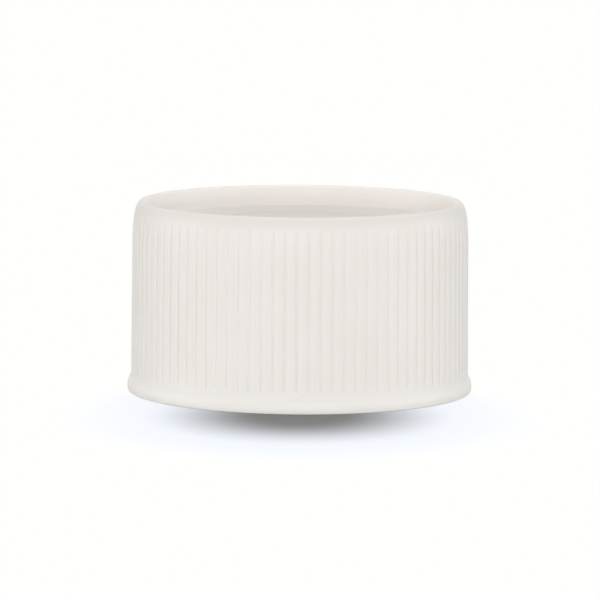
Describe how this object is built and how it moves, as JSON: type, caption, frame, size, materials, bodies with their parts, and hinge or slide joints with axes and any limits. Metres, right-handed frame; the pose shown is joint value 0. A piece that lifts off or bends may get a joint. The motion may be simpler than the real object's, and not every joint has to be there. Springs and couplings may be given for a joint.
{
  "type": "septum screw cap",
  "caption": "Open-top ribbed plastic screw cap with a recessed top and a rolled bead round its mouth, and a soft septum whose raised centre fills the window.",
  "frame": {"origin": "centre of the cap's foot circle, on the plane it stands on, mouth down", "axes": "+Z along the cap's axis, from the mouth up to the recessed top; X and Y are any two square directions across it"},
  "size_m": [0.0276, 0.0276, 0.0152],
  "materials": {
    "cap_plastic": "satin moulded, ivory white",
    "septum_rubber": "matte silicone, off-white"
  },
  "bodies": {
    "root": {"cap_shell": "cap_plastic", "septum": "septum_rubber"}
  },
  "joints": []
}
